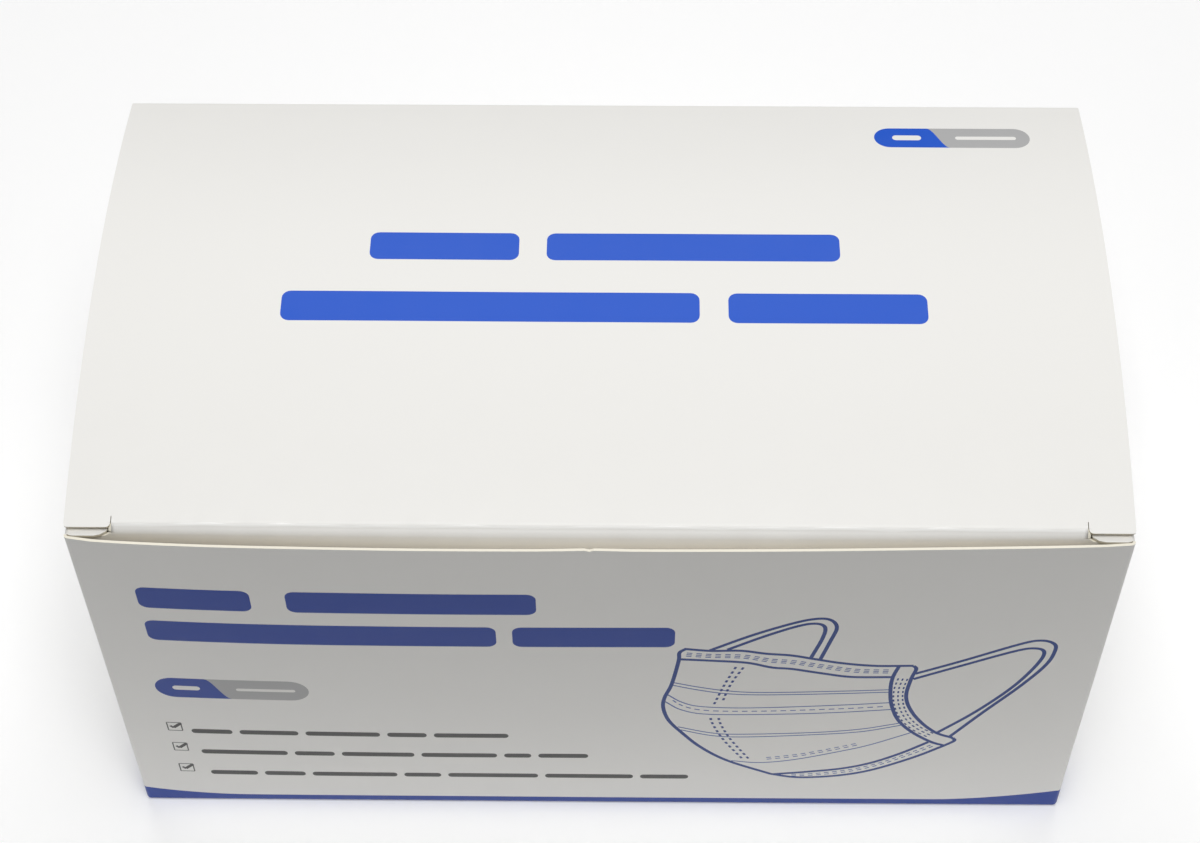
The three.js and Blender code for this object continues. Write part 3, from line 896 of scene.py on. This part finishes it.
def dust_outline():
    """The flap seen flat, with its length along the carton first: a front shoulder, then the step behind."""
    crease = dust_high.y
    corner = HALF_D - FOLD_RADIUS - 0.1
    shoulder = -HALF_D + BOARD + 0.1
    step = -HALF_D + DUST_STEP

    def reach(q):
        return s_dust + q - CREASE_RADIUS

    tip_rear = crease - DUST_CHAMFER - (DUST_REACH - DUST_CHAMFER) * math.tan(DUST_TAPER)
    loop = [(-corner, 0.0), (-corner - 0.1, reach(0.5)), (shoulder + 0.1, reach(0.9)), (shoulder, reach(1.4))]
    loop += [(shoulder, reach(5.0)), (shoulder + 0.25, reach(6.1)), (shoulder + 0.9, reach(7.1))]
    loop += [(shoulder + 2.0, reach(7.6)), (shoulder + 3.4, reach(7.8)), (step - 0.5, reach(7.9))]
    loop += [(step, reach(8.6))]
    loop += arc((step + DUST_CORNER, reach(DUST_REACH - DUST_CORNER)), DUST_CORNER, math.pi, math.pi / 2, 8)
    loop += arc((tip_rear - DUST_CORNER, reach(DUST_REACH - DUST_CORNER)), DUST_CORNER, math.pi / 2, 0.26, 8)
    loop.append((crease - DUST_CHAMFER, reach(DUST_CHAMFER)))
    return loop + [(crease - 0.8, reach(1.2)), (crease - 0.3, 0.0)]


def make_dust_flap(word, side):
    def surface(u, s):
        p = dust_line.at(s)
        lift = ripple(u, s, size=22, depth=0.1, seed=6.1 + side) * smooth_step((s - s_dust) / 8)
        return Vector((side * (HALF_W - p.x), side * u, p.y + lift))

    outline = dust_outline()
    if side < 0:
        outline = [(-u, s) for u, s in reversed(outline)]
    columns = spread(-HALF_D + 1, HALF_D - 1, 3)
    rows = spread(0, s_dust, 0.2) + spread(s_dust + 2, dust_line.length - 1, 3)
    flap = make_board(f"dust_flap_{word}_board", outline, surface, columns, rows, FINISH)
    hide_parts(f"dust_flap_{word}")
    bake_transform(flap)


# The bottom, closed by its outer panel.


def make_bottom():
    inset = FOLD_RADIUS * (1 - math.cos(BOTTOM_TURN)) + BOTTOM_GAP
    x, y = HALF_W - inset, HALF_D - inset
    outline = bar(-x, x, -y, y, 0.5)

    def surface(u, v):
        return Vector((u, -v, 0))

    return make_board("carton_bottom", outline, surface, spread(-85, 85, 10), spread(-45, 45, 10), FINISH)


# Build the pieces, and attach the walls and the bottom to the carton's body.
lid, lid_crease_strip = make_lid()
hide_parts("lid_panel", "tuck_flap")
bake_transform(lid)
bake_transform(lid_crease_strip)

walls = make_walls()
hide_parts("front_panel", "back_panel", "side_panel_left", "side_panel_right", "glue_flap")
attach(walls, "carton")

bottom = make_bottom()
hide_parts("bottom_panel")
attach(bottom, "carton")

for word, side in (("left", -1), ("right", 1)):
    make_dust_flap(word, side)

for node_name in ("bottom_inner_panel", "bottom_side_flap_left", "bottom_side_flap_right"):
    panel = frame["nodes"][node_name]
    panel.data.materials.clear()
    panel.data.materials.append(inside_flat)


# Floor, light and camera, in metres.
FLOOR_REACH = 3.0
FLOOR_PALE = 0.97
FLOOR_DIM = 0.33
FLOOR_GLOW = 0.06
DIM_FROM_Y = -0.062
DIM_TO_Y = -0.21
LIGHT_AIM = (0, 0, 0.05)
FRONT_LIGHT_PLACE = (0.06, -0.52, 1.97)
REAR_LIGHT_PLACE = (0, 1.2, 1.6)
ROOM_LIGHT = 0.05
CAMERA_PLACE = (0.00463, -0.28384, 0.45285)
CAMERA_ELEVATION = math.radians(54.08)
CAMERA_YAW = math.radians(-1.03)
CAMERA_ROLL = math.radians(-0.484)
CAMERA_LENS = 75.55


def make_floor():
    """A pale floor that dims softly in front of the carton, where it would light the front too much."""
    reach = FLOOR_REACH
    corners = [(-reach, -reach, 0), (reach, -reach, 0), (reach, reach, 0), (-reach, reach, 0)]
    mesh = bpy.data.meshes.new("floor")
    mesh.from_pydata(corners, [], [(0, 1, 2, 3)])
    floor = bpy.data.objects.new("floor", mesh)
    bpy.context.scene.collection.objects.link(floor)
    material = bpy.data.materials.new("pale_floor")
    material.use_nodes = True
    nodes, links = material.node_tree.nodes, material.node_tree.links
    shader = nodes["Principled BSDF"]
    place = nodes.new("ShaderNodeTexCoord")
    split = nodes.new("ShaderNodeSeparateXYZ")
    links.new(place.outputs["Object"], split.inputs["Vector"])
    fade = nodes.new("ShaderNodeMapRange")
    fade.interpolation_type = "SMOOTHSTEP"
    fade.inputs["From Min"].default_value = DIM_TO_Y
    fade.inputs["From Max"].default_value = DIM_FROM_Y
    links.new(split.outputs["Y"], fade.inputs["Value"])
    tone = nodes.new("ShaderNodeMix")
    tone.data_type = "RGBA"
    tone.inputs["A"].default_value = (FLOOR_DIM, FLOOR_DIM, FLOOR_DIM, 1)
    tone.inputs["B"].default_value = (FLOOR_PALE, FLOOR_PALE, FLOOR_PALE, 1)
    links.new(fade.outputs["Result"], tone.inputs["Factor"])
    links.new(tone.outputs["Result"], shader.inputs["Base Color"])
    links.new(tone.outputs["Result"], shader.inputs["Emission Color"])
    shader.inputs["Emission Strength"].default_value = FLOOR_GLOW
    shader.inputs["Roughness"].default_value = 0.9
    shader.inputs["Specular IOR Level"].default_value = 0.2
    mesh.materials.append(material)


def make_light(name, place, size, power):
    data = bpy.data.lights.new(name, "AREA")
    data.shape = "SQUARE"
    data.size = size
    data.energy = power
    light = bpy.data.objects.new(name, data)
    light.location = place
    light.rotation_euler = (Vector(LIGHT_AIM) - Vector(place)).to_track_quat("-Z", "Y").to_euler()
    bpy.context.scene.collection.objects.link(light)


def make_world(strength):
    world = bpy.data.worlds.new("soft_room")
    world.use_nodes = True
    background = world.node_tree.nodes["Background"]
    background.inputs["Color"].default_value = (1, 1, 1, 1)
    background.inputs["Strength"].default_value = strength
    bpy.context.scene.world = world


def make_camera():
    """The photograph's view, turned from level and straight ahead by its yaw, elevation and roll."""
    yaw, roll = CAMERA_YAW, CAMERA_ROLL
    flat = math.cos(CAMERA_ELEVATION)
    forward = Vector((math.sin(yaw) * flat, math.cos(yaw) * flat, -math.sin(CAMERA_ELEVATION)))
    level = Vector((math.cos(yaw), -math.sin(yaw), 0))
    upright = level.cross(forward)
    right = math.cos(roll) * level + math.sin(roll) * upright
    up = -math.sin(roll) * level + math.cos(roll) * upright
    turn = Matrix((right, up, -forward)).transposed().to_4x4()
    data = bpy.data.cameras.new("camera")
    data.sensor_width = 36
    data.lens = CAMERA_LENS
    data.clip_start = 0.01
    camera = bpy.data.objects.new("camera", data)
    camera.matrix_world = Matrix.Translation(CAMERA_PLACE) @ turn
    bpy.context.scene.collection.objects.link(camera)
    bpy.context.scene.camera = camera


make_floor()
make_light("front_softbox", FRONT_LIGHT_PLACE, size=1.1, power=31)
make_light("rear_softbox", REAR_LIGHT_PLACE, size=1.4, power=12)
make_world(ROOM_LIGHT)
make_camera()
bpy.context.scene.view_settings.view_transform = "Standard"
bpy.context.scene.view_settings.look = "None"
